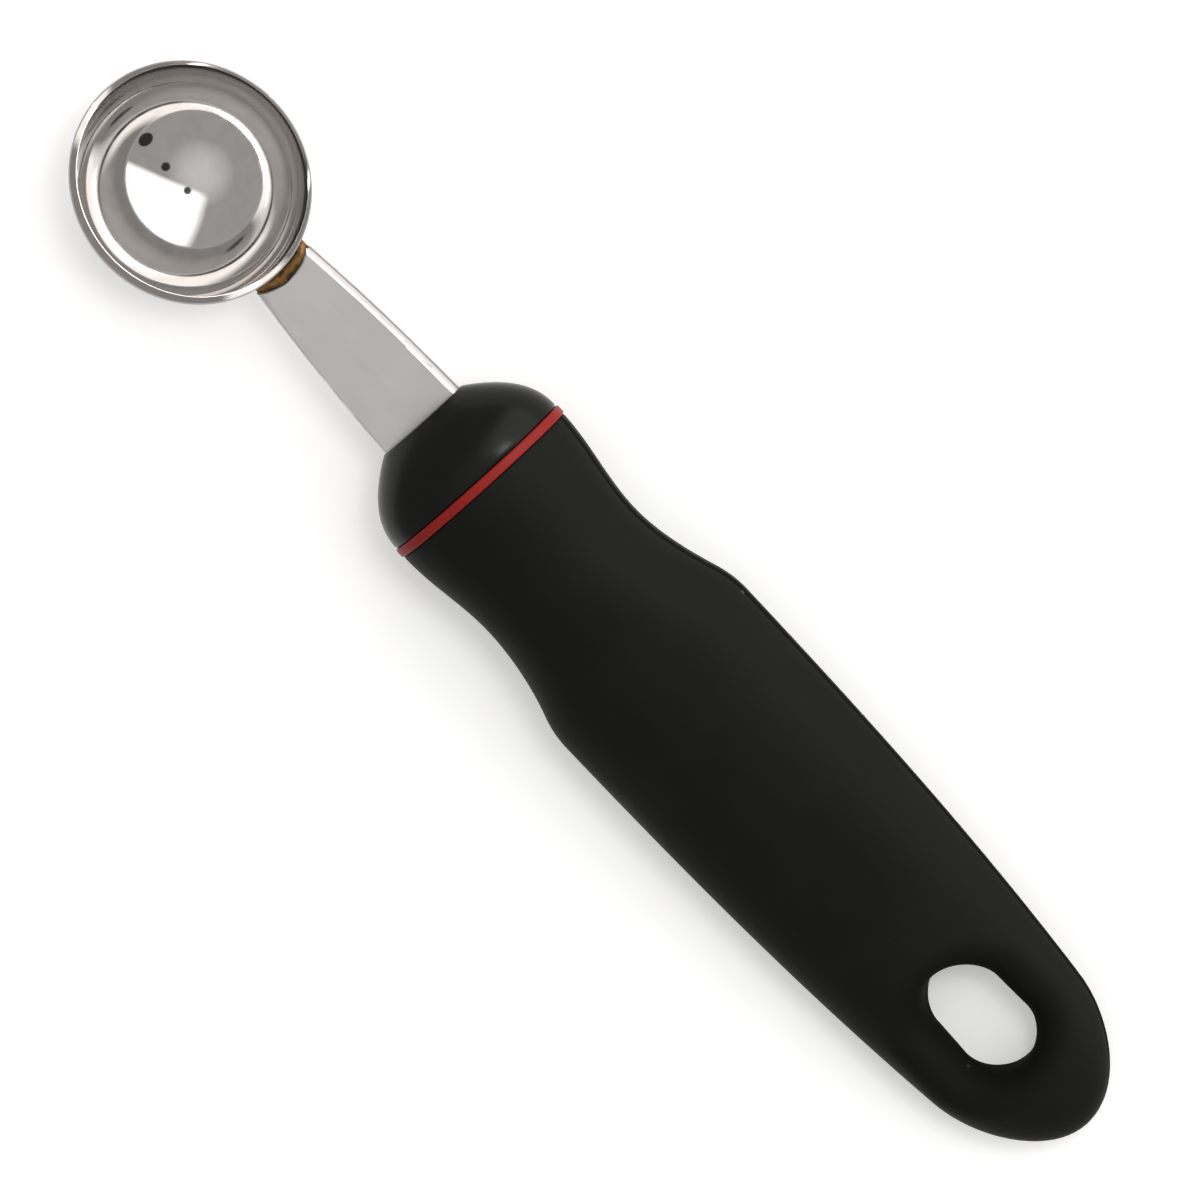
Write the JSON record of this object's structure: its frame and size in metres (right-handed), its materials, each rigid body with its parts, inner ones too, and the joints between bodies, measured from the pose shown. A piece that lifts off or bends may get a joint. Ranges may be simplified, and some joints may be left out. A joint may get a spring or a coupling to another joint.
{
  "type": "melon baller",
  "caption": "Melon baller: a thin ground steel bowl brazed to a flat tapering shank, in a soft oval grip with a waist, a shoulder and a hanging slot near its tail.",
  "frame": {"origin": "on the surface that the tool lies on, below the middle of its length and width", "axes": "+X along the tool from the handle's tail to the bowl, +Z out of the bowl's mouth, +Y to the side"},
  "size_m": [0.1818, 0.0324, 0.0192],
  "materials": {
    "polished_steel": "mirror-polished stainless steel with a ground rim",
    "satin_steel": "finely ground stainless steel",
    "braze": "uncleaned golden brown braze",
    "bolster_black": "moulded black, satin",
    "ring_red": "moulded red, satin",
    "core_plastic": "moulded polypropylene, unseen",
    "grip_black": "moulded black thermoplastic rubber, dull"
  },
  "bodies": {
    "root": {"bowl": "polished_steel", "braze_joint": "braze", "shank": "satin_steel", "bolster": "bolster_black", "accent_ring": "ring_red", "core_lower": "core_plastic", "core_upper": "core_plastic", "grip_sleeve": "grip_black"}
  },
  "joints": []
}
